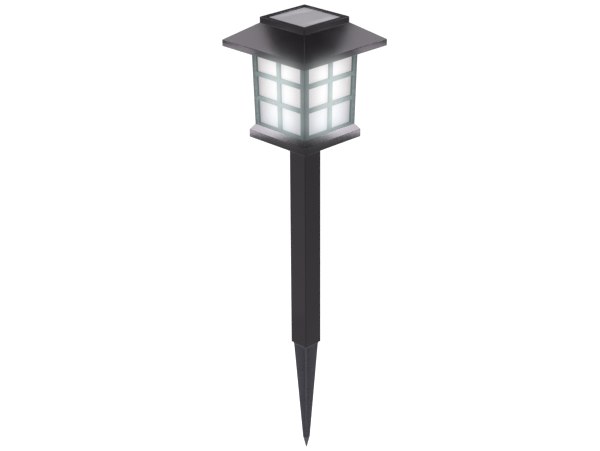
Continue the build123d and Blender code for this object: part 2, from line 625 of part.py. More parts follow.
# ---------------------------------------------------------------------------------------------
# Circuit board, lamp and the electrical parts
# ---------------------------------------------------------------------------------------------

LED_LEGS = [(-LED_LEG_SPACING / 2, 0), (LED_LEG_SPACING / 2, 0)]
SWITCH_PINS = [(step * SWITCH_PIN_PITCH, SWITCH_Y) for step in (-1, 0, 1)]
SWITCH_BOTTOM = BOARD_BOTTOM - SWITCH_SIZE[2]
SLIDER_REST = -SLIDER_TRAVEL / 2
CHOKE_TOP = BOARD_TOP + CHOKE_HEIGHT

with BuildPart() as circuit_board:
    block((-BOARD_LENGTH / 2, BOARD_LENGTH / 2),
          (BOARD_CENTRE_Y - BOARD_WIDTH / 2, BOARD_CENTRE_Y + BOARD_WIDTH / 2), (BOARD_BOTTOM, BOARD_TOP))
    round_posts(BOARD_SCREWS, SMALL_SCREW_HOLE, BOARD_BOTTOM, BOARD_TOP, mode=Mode.SUBTRACT)
    round_posts(LED_LEGS, LED_LEG_RADIUS + SMALL_GAP, BOARD_BOTTOM, BOARD_TOP, mode=Mode.SUBTRACT)
    round_posts(SWITCH_PINS, SWITCH_PIN_RADIUS + SMALL_GAP, BOARD_BOTTOM, BOARD_TOP, mode=Mode.SUBTRACT)
save(circuit_board, "circuit_board")

with BuildPart() as led_lamp:
    with BuildSketch(Plane.XZ):
        with BuildLine():
            Line((0, PLATE_TOP + LED_FLANGE_HEIGHT), (LED_FLANGE_RADIUS, PLATE_TOP + LED_FLANGE_HEIGHT))
            Line((LED_FLANGE_RADIUS, PLATE_TOP + LED_FLANGE_HEIGHT), (LED_FLANGE_RADIUS, PLATE_TOP))
            Line((LED_FLANGE_RADIUS, PLATE_TOP), (LED_RADIUS, PLATE_TOP))
            Line((LED_RADIUS, PLATE_TOP), (LED_RADIUS, PLATE_TOP - LED_BODY_HEIGHT))
            CenterArc((0, PLATE_TOP - LED_BODY_HEIGHT), LED_RADIUS, 0, -90)
            Line((0, PLATE_TOP - LED_BODY_HEIGHT - LED_RADIUS), (0, PLATE_TOP + LED_FLANGE_HEIGHT))
        make_face()
    revolve(axis=Axis.Z)
save(led_lamp, "led_lamp")

with BuildPart() as led_legs:
    round_posts(LED_LEGS, LED_LEG_RADIUS, PLATE_TOP + LED_FLANGE_HEIGHT, BOARD_TOP + PIN_SHOWS)
save(led_legs, "led_legs")

with BuildPart() as controller_chip:
    with BuildSketch(Plane.XY.offset(BOARD_TOP)):
        with Locations(CHIP_PLACE):
            Rectangle(CHIP_SIZE[0], CHIP_SIZE[1])
    extrude(amount=CHIP_SIZE[2], taper=CHIP_TAPER)
save(controller_chip, "controller_chip")

with BuildPart() as chip_pins:
    with BuildSketch(Plane.XY.offset(BOARD_TOP)):
        for side in (-1, 1):
            row = (CHIP_PLACE[0], CHIP_PLACE[1] + side * (CHIP_SIZE[1] + CHIP_PIN_SIZE[1]) / 2)
            with Locations(row):
                with GridLocations(CHIP_PIN_PITCH, 0, CHIP_PIN_COUNT, 1):
                    Rectangle(CHIP_PIN_SIZE[0], CHIP_PIN_SIZE[1])
    extrude(amount=CHIP_PIN_SIZE[2])
save(chip_pins, "chip_pins")

with BuildPart() as choke_core:
    round_posts([CHOKE_PLACE], CHOKE_RADIUS, BOARD_TOP, BOARD_TOP + CHOKE_FLANGE)
    round_posts([CHOKE_PLACE], CHOKE_CORE_RADIUS, BOARD_TOP, CHOKE_TOP)
    round_posts([CHOKE_PLACE], CHOKE_RADIUS, CHOKE_TOP - CHOKE_FLANGE, CHOKE_TOP)
save(choke_core, "choke_core")

with BuildPart() as choke_coil:
    with BuildSketch(Plane.XY.offset(BOARD_TOP + CHOKE_FLANGE)):
        with Locations(CHOKE_PLACE):
            Circle(CHOKE_COIL_RADIUS)
            Circle(CHOKE_CORE_RADIUS, mode=Mode.SUBTRACT)
    extrude(amount=CHOKE_HEIGHT - 2 * CHOKE_FLANGE)
save(choke_coil, "choke_coil")

with BuildPart() as switch_body:
    block((-SWITCH_SIZE[0] / 2, SWITCH_SIZE[0] / 2),
          (SWITCH_Y - SWITCH_SIZE[1] / 2, SWITCH_Y + SWITCH_SIZE[1] / 2), (SWITCH_BOTTOM, BOARD_BOTTOM))
    block((-SLOT_HALF, SLOT_HALF),
          (SWITCH_Y - SLIDER_WIDTH / 2 - SMALL_GAP, SWITCH_Y + SLIDER_WIDTH / 2 + SMALL_GAP),
          (SWITCH_BOTTOM, SWITCH_BOTTOM + SWITCH_FACE), mode=Mode.SUBTRACT)
    block((-SLOT_HALF, SLOT_HALF),
          (SWITCH_Y - SLIDER_FOOT_WIDTH / 2 - SMALL_GAP, SWITCH_Y + SLIDER_FOOT_WIDTH / 2 + SMALL_GAP),
          (SWITCH_BOTTOM + SWITCH_FACE, SWITCH_BOTTOM + SWITCH_FACE + SWITCH_ROOM), mode=Mode.SUBTRACT)
save(switch_body, "switch_body")

with BuildPart() as switch_pins:
    round_posts(SWITCH_PINS, SWITCH_PIN_RADIUS, BOARD_BOTTOM, BOARD_TOP + PIN_SHOWS)
save(switch_pins, "switch_pins")

with BuildPart() as switch_slider:
    slider_x = (SLIDER_REST - SLIDER_LENGTH / 2, SLIDER_REST + SLIDER_LENGTH / 2)
    block(slider_x, (SWITCH_Y - SLIDER_WIDTH / 2, SWITCH_Y + SLIDER_WIDTH / 2),
          (PLATE_BOTTOM - SLIDER_SHOWS, SWITCH_BOTTOM + SWITCH_FACE + SMALL_GAP))
    block(slider_x, (SWITCH_Y - SLIDER_FOOT_WIDTH / 2, SWITCH_Y + SLIDER_FOOT_WIDTH / 2),
          (SWITCH_BOTTOM + SWITCH_FACE + THIN_GAP, SWITCH_BOTTOM + SWITCH_FACE + SWITCH_ROOM - SMALL_GAP))
save(switch_slider, "switch_slider")

# ---------------------------------------------------------------------------------------------
# Screws
# ---------------------------------------------------------------------------------------------

case_screw = pan_head_screw(SCREW_RADIUS, SCREW_LENGTH, SCREW_HEAD_RADIUS, SCREW_HEAD_HEIGHT)
small_door_screw, small_board_screw = (
    pan_head_screw(SMALL_SCREW_RADIUS, length, SMALL_HEAD_RADIUS, SMALL_HEAD_HEIGHT)
    for length in (DOOR_SCREW_LENGTH, BOARD_SCREW_LENGTH)
)

with BuildPart() as base_screws:
    with Locations(*[(x, y, BASE_EDGE_TOP) for x, y in BASE_SCREWS]):
        add(case_screw)
save(base_screws, "base_screws")

with BuildPart() as housing_screws:
    with Locations(*[(x, y, PLATE_BOTTOM) for x, y in HOUSING_SCREWS]):
        add(case_screw)
save(housing_screws, "housing_screws")

with BuildPart() as door_screw:
    with Locations((0, DOOR_SCREW_Y, PLATE_BOTTOM)):
        add(small_door_screw)
save(door_screw, "door_screw")

with BuildPart() as board_screws:
    with Locations(*[(x, y, BOARD_TOP) for x, y in BOARD_SCREWS]):
        add(small_board_screw, rotation=(180, 0, 0))
save(board_screws, "board_screws")

# ---------------------------------------------------------------------------------------------
# Wires: from the panel's underside and from the contact tabs down to the board
# ---------------------------------------------------------------------------------------------

PANEL_WIRE_BEND_Z = (318.5, 315.0)
PANEL_WIRE_FOOT = (11.0, 11.0)
CELL_WIRE_Z = BAY_OUTER_TOP + WIRE_RADIUS + SMALL_GAP
CELL_WIRE_TURN_X = 17.0
CELL_WIRE_FOOT = (16.0, 2.0)

for side, wire_name in ((1, "panel_wire_red"), (-1, "panel_wire_black")):
    save(wire([
        (side * WIRE_HOLE_X, WIRE_HOLE_Y, RECESS_FLOOR),
        (side * WIRE_HOLE_X, WIRE_HOLE_Y, PANEL_WIRE_BEND_Z[0]),
        (side * PANEL_WIRE_FOOT[0], PANEL_WIRE_FOOT[1], PANEL_WIRE_BEND_Z[1]),
        (side * PANEL_WIRE_FOOT[0], PANEL_WIRE_FOOT[1], BOARD_TOP),
    ]), wire_name)

for side, wire_name in ((1, "battery_wire_red"), (-1, "battery_wire_black")):
    save(wire([
        (side * CONTACT_FACE, BAY_CENTRE_Y, CELL_WIRE_Z),
        (side * CELL_WIRE_TURN_X, BAY_CENTRE_Y, CELL_WIRE_Z),
        (side * CELL_WIRE_FOOT[0], CELL_WIRE_FOOT[1], CELL_WIRE_Z),
        (side * CELL_WIRE_FOOT[0], CELL_WIRE_FOOT[1], BOARD_TOP),
    ]), wire_name)
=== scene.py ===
import json
import logging
import math
from dataclasses import dataclass, field
from enum import Enum
from typing import Callable, Dict, Optional, Protocol, Sequence, Tuple, Union

import bmesh
import bpy
from mathutils import Matrix, Vector


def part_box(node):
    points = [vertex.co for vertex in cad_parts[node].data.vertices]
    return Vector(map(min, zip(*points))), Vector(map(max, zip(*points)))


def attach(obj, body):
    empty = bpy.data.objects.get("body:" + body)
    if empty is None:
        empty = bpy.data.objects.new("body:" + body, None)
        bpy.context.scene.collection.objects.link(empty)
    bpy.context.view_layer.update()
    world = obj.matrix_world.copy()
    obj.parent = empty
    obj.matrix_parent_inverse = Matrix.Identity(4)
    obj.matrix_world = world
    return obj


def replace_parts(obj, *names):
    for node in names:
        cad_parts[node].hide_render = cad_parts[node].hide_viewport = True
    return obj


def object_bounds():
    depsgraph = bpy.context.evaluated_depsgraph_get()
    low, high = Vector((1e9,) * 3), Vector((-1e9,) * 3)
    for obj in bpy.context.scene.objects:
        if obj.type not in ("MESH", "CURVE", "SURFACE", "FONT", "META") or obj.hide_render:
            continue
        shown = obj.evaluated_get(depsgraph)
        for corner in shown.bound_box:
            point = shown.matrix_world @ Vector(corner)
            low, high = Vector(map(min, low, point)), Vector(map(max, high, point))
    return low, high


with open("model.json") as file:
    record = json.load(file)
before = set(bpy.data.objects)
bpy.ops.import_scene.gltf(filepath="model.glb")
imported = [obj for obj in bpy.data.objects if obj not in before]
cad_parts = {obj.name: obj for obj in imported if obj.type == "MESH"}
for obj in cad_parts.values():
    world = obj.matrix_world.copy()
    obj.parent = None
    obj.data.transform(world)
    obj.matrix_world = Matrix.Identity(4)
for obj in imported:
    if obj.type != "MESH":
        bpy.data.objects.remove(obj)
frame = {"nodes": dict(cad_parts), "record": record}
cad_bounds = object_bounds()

# Solar garden light: the finishes of every moulded, metal and glass piece, the fine pieces that
# complete the frame, and the studio around it. Lengths are metres. The origin is where the foot
# of the pole meets the ground, +Z points up, and the lantern's sides face +X, -X, +Y and -Y.

LOG = logging.getLogger("garden_light")
MM = 0.001

Colour = Tuple[float, float, float]
Socket = bpy.types.NodeSocket
Source = Union[Socket, float, Sequence[float]]
Places = Tuple[Tuple[float, float], ...]            # on the circuit board, in millimetres


# ------------------------------------------------------------
# Tools that the finishes share
# ------------------------------------------------------------

class Grain(Enum):
    """The ways in which a surface pattern can run."""

    EVEN = (1.0, 1.0, 1.0)
    ALONG_X = (0.05, 1.0, 1.0)


class NodeBench:
    """Builds the nodes of one material around its Principled shader."""

    USUAL = (0.3, 0.7)                  # where nearly all values of a random pattern lie
    FLAT = 0.995                        # how well a rounded normal matches the true one on a flat
    SHARP = 0.86                        # and on an edge

    def __init__(self, name: str) -> None:
        """Starts an empty material.

        Args:
            name: The material's name.
        """
        self.material = bpy.data.materials.new(name)
        self.material.use_nodes = True
        self.tree = self.material.node_tree
        self.shader = self.tree.nodes["Principled BSDF"]

    def node(self, kind: str, **settings: object) -> bpy.types.Node:
        """Adds a node and sets its own properties.

        Args:
            kind: The node's type, without the ShaderNode prefix.
            settings: Properties of the node.

        Returns:
            The new node.
        """
        made = self.tree.nodes.new("ShaderNode" + kind)
        for key, value in settings.items():
            setattr(made, key, value)
        return made

    def feed(self, target: Socket, source: Source) -> None:
        """Links a socket to a source, or sets its own value when the source is a constant.

        Args:
            target: The socket to feed.
            source: A socket, a number or the parts of a colour or vector.
        """
        if isinstance(source, bpy.types.NodeSocket):
            self.tree.links.new(source, target)
        elif isinstance(source, (int, float)):
            target.default_value = source
        else:
            values = tuple(source)
            opaque = (1.0,) if len(target.default_value) == len(values) + 1 else ()
            target.default_value = values + opaque

    def set(self, **sockets: Source) -> None:
        """Sets or links sockets of the Principled shader, named with underscores for spaces.

        Args:
            sockets: What each named socket gets.
        """
        for key, source in sockets.items():
            self.feed(self.shader.inputs[key.replace("_", " ")], source)

    def place(self, scale: Sequence[float] = (1.0, 1.0, 1.0)) -> Socket:
        """Gives the piece's own coordinates, stretched by a scale.

        Args:
            scale: The stretch along X, Y and Z.

        Returns:
            The coordinates.
        """
        mapping = self.node("Mapping")
        self.feed(mapping.inputs["Scale"], scale)
        self.tree.links.new(self.node("TexCoord").outputs["Object"], mapping.inputs["Vector"])
        return mapping.outputs["Vector"]

    def noise(self, per_metre: float, detail: float = 4.0, roughness: float = 0.55,
              grain: Grain = Grain.EVEN) -> Socket:
        """Gives a soft random pattern from 0 to 1.

        Args:
            per_metre: How many blotches fit in a metre.
            detail: How many finer layers it has.
            roughness: How strong those layers are.
            grain: The way that the pattern is drawn out.

        Returns:
            The pattern's value.
        """
        pattern = self.node("TexNoise")
        self.feed(pattern.inputs["Vector"], self.place(grain.value))
        self.feed(pattern.inputs["Scale"], per_metre)
        self.feed(pattern.inputs["Detail"], detail)
        self.feed(pattern.inputs["Roughness"], roughness)
        return pattern.outputs["Fac"]

    def vary(self, per_metre: float, low: float, high: float, detail: float = 4.0,
             roughness: float = 0.55) -> Socket:
        """Gives a value that wanders between two ends.

        Args:
            per_metre: How many blotches fit in a metre.
            low: One end.
            high: The other end.
            detail: How many finer layers the pattern has.
            roughness: How strong those layers are.

        Returns:
            The value.
        """
        return self.span(self.noise(per_metre, detail, roughness), *self.USUAL, low, high)

    def maths(self, operation: str, first: Source, second: Source = 0.0,
              clamp: bool = False) -> Socket:
        """Gives the result of one sum on two values.

        Args:
            operation: The name of the sum.
            first: The first value.
            second: The second value.
            clamp: Keeps the result from 0 to 1.

        Returns:
            The result.
        """
        sum_node = self.node("Math", operation=operation, use_clamp=clamp)
        self.feed(sum_node.inputs[0], first)
        self.feed(sum_node.inputs[1], second)
        return sum_node.outputs[0]

    def span(self, source: Source, low: float, high: float, to_low: float = 0.0,
             to_high: float = 1.0, smooth: bool = False) -> Socket:
        """Turns a stretch of a value, from low to high, into another, and stops at its ends.

        Args:
            source: The value.
            low: Where its stretch starts.
            high: Where its stretch ends.
            to_low: Where the new stretch starts.
            to_high: Where the new stretch ends.
            smooth: Eases in and out of the ends.

        Returns:
            The new value.
        """
        spread = self.node("MapRange", interpolation_type="SMOOTHSTEP" if smooth else "LINEAR")
        for key, value in (("Value", source), ("From Min", low), ("From Max", high),
                           ("To Min", to_low), ("To Max", to_high)):
            self.feed(spread.inputs[key], value)
        return spread.outputs["Result"]

    def mix(self, amount: Source, first: Source, second: Source) -> Socket:
        """Gives a colour between two colours.

        Args:
            amount: 0 for the first colour, 1 for the second.
            first: The first colour.
            second: The second colour.

        Returns:
            The colour.
        """
        blend = self.node("Mix", data_type="RGBA")
        self.feed(blend.inputs[0], amount)
        self.feed(blend.inputs[6], first)
        self.feed(blend.inputs[7], second)
        return blend.outputs[2]

    def part(self, vector: Socket, axis: str) -> Socket:
        """Gives one of the three parts of a vector.

        Args:
            vector: The vector.
            axis: X, Y or Z.

        Returns:
            That part.
        """
        split = self.node("SeparateXYZ")
        self.tree.links.new(vector, split.inputs[0])
        return split.outputs[axis]

    def off_middle(self) -> Socket:
        """Gives how far a point on an upright side is from the middle of that side."""
        place = self.place()
        across, along = (self.maths("ABSOLUTE", self.part(place, axis)) for axis in ("X", "Y"))
        return self.maths("MINIMUM", across, along)

    def bump(self, height: Source, depth: float, strength: float = 1.0,
             under: Optional[Socket] = None) -> Socket:
        """Gives the normal of a surface that a height pattern dents.

        Args:
            height: The pattern, from 0 to 1.
            depth: The height in metres that 1 stands for.
            strength: How much of the pattern shows.
            under: The normal of a coarser pattern below this one.

        Returns:
            The normal.
        """
        dents = self.node("Bump")
        self.feed(dents.inputs["Height"], height)
        self.feed(dents.inputs["Distance"], depth)
        self.feed(dents.inputs["Strength"], strength)
        if under is not None:
            self.tree.links.new(under, dents.inputs["Normal"])
        return dents.outputs["Normal"]

    def edges(self, radius: float) -> Socket:
        """Gives a mask that is 1 at sharp edges and 0 on flats.

        Args:
            radius: How far from the edge the mask reaches, in metres.

        Returns:
            The mask.
        """
        rounded = self.node("Bevel", samples=4)
        self.feed(rounded.inputs["Radius"], radius)
        match = self.node("VectorMath", operation="DOT_PRODUCT")
        self.tree.links.new(rounded.outputs["Normal"], match.inputs[0])
        self.tree.links.new(self.node("NewGeometry").outputs["Normal"], match.inputs[1])
        return self.span(match.outputs["Value"], self.FLAT, self.SHARP)


# ------------------------------------------------------------
# Finishes
# ------------------------------------------------------------

class Finish(Protocol):
    """Anything that can make a material."""

    name: str

    def make(self) -> bpy.types.Material:
        """Builds the material."""


@dataclass(frozen=True)
class MouldedPlastic:
    """A solid-coloured moulded or extruded plastic with grain, dust, and edges lightened partly by
    wear and partly by a painted highlight.
    """

    name: str
    colour: Colour
    shade: Colour                       # where the colour runs a little darker
    rubbed_and_highlit: Colour                      # along edges: lighter partly from wear, partly as a painted edge highlight
    dust: Colour = (0.2, 0.195, 0.19)
    dust_amount: float = 0.0            # on faces that look up
    gloss: Tuple[float, float] = (0.3, 0.42)   # roughness from the smoothest to the dullest
    specular: float = 0.4
    grain_depth: float = 0.012 * MM
    grain_per_metre: float = 1800.0
    grain: Grain = Grain.EVEN
    edge: float = 0.6 * MM
    # how strongly the edges take that colour, which is both wear and a painted highlight
    wear_and_highlight: float = 0.5
    tint: Colour = (1.0, 1.0, 1.0)      # of the light that the surface mirrors
    cover: float = 1.0                  # below 1 what lies under it shows through

    def make(self) -> bpy.types.Material:
        """Builds the material."""
        bench = NodeBench(self.name)
        cloud = bench.noise(38.0, 5.0)
        fine = bench.noise(420.0, 3.0, 0.6, self.grain)
        body = bench.mix(bench.span(cloud, 0.35, 0.65), self.shade, self.colour)
        up = bench.span(bench.part(bench.node("NewGeometry").outputs["Normal"], "Z"), 0.4, 0.95)
        specks = bench.span(bench.noise(900.0, 6.0, 0.7), 0.42, 0.72)
        settled = bench.maths("MULTIPLY", bench.maths("MULTIPLY", up, specks), self.dust_amount)
        dusty = bench.mix(settled, body, self.dust)
        patchy = bench.vary(110.0, 0.45, 1.0, 5.0, 0.6)
        # The edge mask is partly real wear and partly a painted highlight along sharp edges.
        worn_and_highlit = bench.maths("MULTIPLY", patchy, self.wear_and_highlight)
        rub_and_highlight = bench.maths("MULTIPLY", bench.edges(self.edge), worn_and_highlit)
        dull = bench.span(bench.mix(0.5, cloud, fine), *bench.USUAL, *self.gloss)
        coarse = bench.bump(bench.noise(90.0, 2.0, 0.5, self.grain), 0.04 * MM, 0.12)
        pores = bench.bump(bench.noise(self.grain_per_metre, 2.0, 0.6, self.grain),
                           self.grain_depth, 0.35, coarse)
        bench.set(
            Base_Color=bench.mix(rub_and_highlight, dusty, self.rubbed_and_highlit),
            Roughness=bench.maths("ADD", dull, bench.maths("MULTIPLY", settled, 0.4), clamp=True),
            Normal=pores,
            Specular_IOR_Level=self.specular,
            Specular_Tint=self.tint,
            Alpha=self.cover,
        )
        return bench.material


@dataclass(frozen=True)
class GlowingLattice:
    """Smoky plastic bars that the lamp's light fills, least of all at the four corners."""

    name: str
    colour: Colour = (0.018, 0.024, 0.026)
    bar_light: Colour = (0.010, 0.045, 0.045)
    corner_light: Colour = (0.0, 0.012, 0.014)
    corner_from: float = 28.5 * MM      # from the middle of a side
    corner_to: float = 32.0 * MM
    unevenness: Tuple[float, float] = (0.82, 1.1)
    bloom: float = 0.4                  # how much of the bloom comes from it

    def make(self) -> bpy.types.Material:
        """Builds the material."""
        bench = NodeBench(self.name)
        corner = bench.span(bench.off_middle(), self.corner_from, self.corner_to, smooth=True)
        cloud = bench.vary(55.0, *self.unevenness)
        light = bench.node("VectorMath", operation="SCALE")
        bench.tree.links.new(bench.mix(corner, self.bar_light, self.corner_light), light.inputs[0])
        bench.tree.links.new(cloud, light.inputs["Scale"])
        grain = bench.bump(bench.noise(1500.0, 3.0), 0.02 * MM, 0.3)
        bench.set(
            Base_Color=self.colour,
            Roughness=bench.vary(300.0, 0.3, 0.45),
            Normal=grain,
            Emission_Color=light.outputs[0],
            Emission_Strength=1.0,
            Specular_IOR_Level=0.4,
        )
        Glow.mark(bench, self.bloom)
        return bench.material


@dataclass(frozen=True)
class LitPane:
    """A frosted acrylic window with the lamp on behind it."""

    name: str
    low: Tuple[float, Colour]           # height and light there
    middle: Tuple[float, Colour]
    high: Tuple[float, Colour]
    colour: Colour = (0.04, 0.045, 0.05)

    def make(self) -> bpy.types.Material:
        """Builds the material."""
        bench = NodeBench(self.name)
        height = bench.part(bench.place(), "Z")
        lower = bench.mix(bench.span(height, self.low[0], self.middle[0], smooth=True),
                          self.low[1], self.middle[1])
        upper = bench.mix(bench.span(height, self.middle[0], self.high[0], smooth=True),
                          lower, self.high[1])
        cloud = bench.vary(45.0, 0.95, 1.04, 3.0)
        frost = bench.vary(700.0, 0.99, 1.01, 4.0, 0.7)
        light = bench.node("VectorMath", operation="SCALE")
        bench.tree.links.new(upper, light.inputs[0])
        bench.tree.links.new(bench.maths("MULTIPLY", cloud, frost), light.inputs["Scale"])
        bench.set(
            Base_Color=self.colour,
            Roughness=bench.vary(500.0, 0.45, 0.6),
            Normal=bench.bump(bench.noise(1600.0, 3.0), 0.02 * MM, 0.4),
            Emission_Color=light.outputs[0],
            Emission_Strength=1.0,
        )
        Glow.mark(bench)
        return bench.material


@dataclass(frozen=True)
class Metal:
    """A plated or bare metal with fine brushing and a little tarnish."""

    name: str
    colour: Colour
    tarnish: Colour
    gloss: Tuple[float, float] = (0.2, 0.38)
    grain: Grain = Grain.EVEN
    turns: float = 0.0                  # how far apart the turns of a winding lie, up the Z axis

    def make(self) -> bpy.types.Material:
        """Builds the material."""
        bench = NodeBench(self.name)
        stain = bench.span(bench.noise(260.0, 6.0, 0.65), 0.45, 0.75)
        brushing = bench.noise(2600.0, 2.0, 0.6, self.grain)
        surface = bench.bump(brushing, 0.01 * MM, 0.3)
        if self.turns:
            wire = bench.maths("PINGPONG", bench.part(bench.place(), "Z"), self.turns / 2)
            round_wire = bench.span(wire, 0.0, self.turns / 2, smooth=True)
            surface = bench.bump(round_wire, self.turns / 2, 0.8, surface)
        bench.set(
            Base_Color=bench.mix(bench.maths("MULTIPLY", stain, 0.6), self.colour, self.tarnish),
            Metallic=1.0,
            Roughness=bench.span(bench.mix(0.4, stain, brushing), 0.2, 0.8, *self.gloss),
            Normal=surface,
        )
        return bench.material


@dataclass(frozen=True)
class SolarCell:
    """Crystalline silicon with a comb of thin printed fingers and a faint crystal pattern, coloured
    pale as a painted reflection of the bright studio.
    """

    name: str
    # These pale colours are a painted reflection of the white studio on the panel.
    colour: Colour = (0.70, 0.67, 0.745)
    shade: Colour = (0.60, 0.575, 0.66)
    finger: Colour = (0.78, 0.765, 0.81)
    pitch: float = 1.9 * MM             # between fingers
    width: float = 0.16 * MM            # of one finger
    crystals: float = 260.0             # in a metre

    def make(self) -> bpy.types.Material:
        """Builds the material."""
        bench = NodeBench(self.name)
        pattern = bench.node("TexVoronoi")
        bench.feed(pattern.inputs["Vector"], bench.place())
        bench.feed(pattern.inputs["Scale"], self.crystals)
        flake = bench.part(pattern.outputs["Color"], "X")
        blend = bench.mix(0.5, flake, bench.noise(90.0, 4.0))
        across = bench.maths("PINGPONG", bench.part(bench.place(), "Y"), self.pitch / 2)
        comb = bench.span(across, self.width / 2, self.width / 2 + 0.04 * MM, 1.0, 0.0)
        grain = bench.bump(bench.noise(1400.0), 0.01 * MM, 0.3)
        bench.set(
            Base_Color=bench.mix(comb, bench.mix(blend, self.shade, self.colour), self.finger),
            Roughness=bench.span(blend, 0.2, 0.8, 0.22, 0.4),
            Normal=bench.bump(comb, 0.02 * MM, 0.6, grain),
        )
        return bench.material


@dataclass(frozen=True)
class ClearEpoxy:
    """Clear cast epoxy with a slight haze and a few flow marks."""

    name: str
    colour: Colour = (0.95, 0.96, 0.93)
    haze: Colour = (0.86, 0.88, 0.82)

    def make(self) -> bpy.types.Material:
        """Builds the material."""
        bench = NodeBench(self.name)
        flow = bench.noise(320.0, 3.0, 0.5)
        bench.set(
            Base_Color=bench.mix(bench.span(flow, 0.4, 0.7), self.colour, self.haze),
            Roughness=bench.vary(900.0, 0.04, 0.12),
            Transmission_Weight=1.0,
            IOR=1.52,
            Normal=bench.bump(flow, 0.02 * MM, 0.2),
        )
        return bench.material


@dataclass(frozen=True)
class CircuitLaminate:
    """Green solder mask with the slightly raised lines of the copper tracks under it."""

    name: str
    colour: Colour = (0.010, 0.085, 0.028)
    shade: Colour = (0.007, 0.065, 0.020)
    track: Colour = (0.030, 0.150, 0.050)
    fibre: Colour = (0.30, 0.31, 0.16)  # on the sawn edges
    spacing: float = 2.6 * MM
    width: float = 0.5 * MM
    wander: float = 1.6 * MM            # how far a track strays to each side

    def make(self) -> bpy.types.Material:
        """Builds the material."""
        bench = NodeBench(self.name)
        wander = bench.vary(60.0, -self.wander, self.wander, 0.0)
        place = bench.place()
        across = bench.maths("ADD", bench.part(place, "Y"), wander)
        lines = bench.maths("PINGPONG", across, self.spacing / 2)
        tracks = bench.span(lines, self.width / 2, self.width / 2 + 0.06 * MM, 1.0, 0.0)
        mask = bench.mix(bench.noise(120.0, 4.0), self.shade, self.colour)
        flat = bench.maths("ABSOLUTE", bench.part(bench.node("NewGeometry").outputs["Normal"], "Z"))
        weave = bench.bump(bench.noise(1900.0, 2.0), 0.01 * MM, 0.3)
        bench.set(
            Base_Color=bench.mix(bench.span(flat, 0.4, 0.6), self.fibre,
                                 bench.mix(tracks, mask, self.track)),
            Roughness=bench.vary(400.0, 0.22, 0.36),
            Normal=bench.bump(tracks, 0.035 * MM, 0.8, weave),
        )
        return bench.material


class Glow:
    """The soft bloom of light around the lit lantern, laid over the finished picture."""

    PASS = "lantern_light"
    RINGS = ((1.0, 0.04), (3.2, 0.58), (5.5, 0.14))     # percent of the picture's width, strength
    COLOUR: Colour = (0.93, 1.0, 1.0)
    FULL = 10.0 * MM                    # from the middle of a side, where the bloom starts to fade
    FAINT = 26.5 * MM                   # where it has faded
    LEAST = 0.08

    @classmethod
    def mark(cls, bench: NodeBench, most: float = 1.0) -> None:
        """Lets a glowing material feed the bloom, most of all in the middle of each side.

        Args:
            bench: The material's bench.
            most: How much it feeds in the middle of a side.
        """
        share = bench.span(bench.off_middle(), cls.FULL, cls.FAINT, most, cls.LEAST * most,
                           smooth=True)
        out = bench.node("OutputAOV", aov_name=cls.PASS)
        bench.feed(out.inputs["Color"], bench.mix(share, (0.0, 0.0, 0.0), cls.COLOUR))

    @classmethod
    def develop(cls, scene: bpy.types.Scene) -> None:
        """Adds the blurred light of the marked materials to the picture.

        Args:
            scene: The scene that is rendered.
        """
        layer = scene.view_layers[0].aovs.add()
        layer.name = cls.PASS
        layer.type = "COLOR"
        scene.use_nodes = True
        tree = scene.node_tree
        tree.nodes.clear()
        taken = tree.nodes.new("CompositorNodeRLayers")
        picture = taken.outputs["Image"]
        for reach, strength in cls.RINGS:
            blur = tree.nodes.new("CompositorNodeBlur")
            blur.filter_type = "FAST_GAUSS"
            width = tree.nodes.new("CompositorNodeRelativeToPixel")
            width.data_type = "FLOAT"
            width.reference_dimension = "X"
            width.inputs[1].default_value = reach / 100.0
            tree.links.new(taken.outputs["Image"], width.inputs["Image"])
            tree.links.new(width.outputs[0], blur.inputs["Size"])
            tree.links.new(taken.outputs[cls.PASS], blur.inputs["Image"])
            add = tree.nodes.new("CompositorNodeMixRGB")
            add.blend_type = "ADD"
            add.inputs[0].default_value = strength
            tree.links.new(picture, add.inputs[1])
            tree.links.new(blur.outputs["Image"], add.inputs[2])
            picture = add.outputs["Image"]
        tree.links.new(picture, tree.nodes.new("CompositorNodeComposite").inputs["Image"])


# ------------------------------------------------------------
# Dressing the frame
# ------------------------------------------------------------

